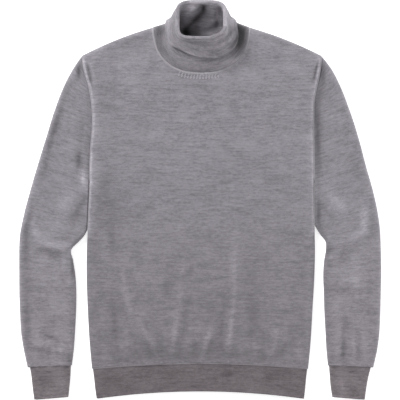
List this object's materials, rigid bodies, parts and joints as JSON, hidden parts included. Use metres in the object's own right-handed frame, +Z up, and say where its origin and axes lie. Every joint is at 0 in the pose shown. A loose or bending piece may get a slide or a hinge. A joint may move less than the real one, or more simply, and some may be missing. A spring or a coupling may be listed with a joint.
{
  "type": "turtleneck sweater",
  "caption": "Long-sleeved fine-knit turtleneck sweater with a folded collar, a hem band and cuffs, laid flat on its back.",
  "frame": {"origin": "middle of the laid garment's outline, on the surface that it lies on", "axes": "+Y from the hem to the collar, +X to the side of sleeve_right, +Z up off the surface"},
  "size_m": [0.6872, 0.7555, 0.0866],
  "materials": {
    "knit": "matte melange grey jersey",
    "band_knit": "matte melange grey, denser knit",
    "collar_knit": "matte melange grey, denser knit"
  },
  "bodies": {
    "root": {"front": "knit", "back": "knit", "sleeve_left": "knit", "sleeve_right": "knit", "collar": "collar_knit", "hem_band_front": "band_knit", "hem_band_back": "band_knit", "cuff_left": "band_knit", "cuff_right": "band_knit"}
  },
  "joints": []
}
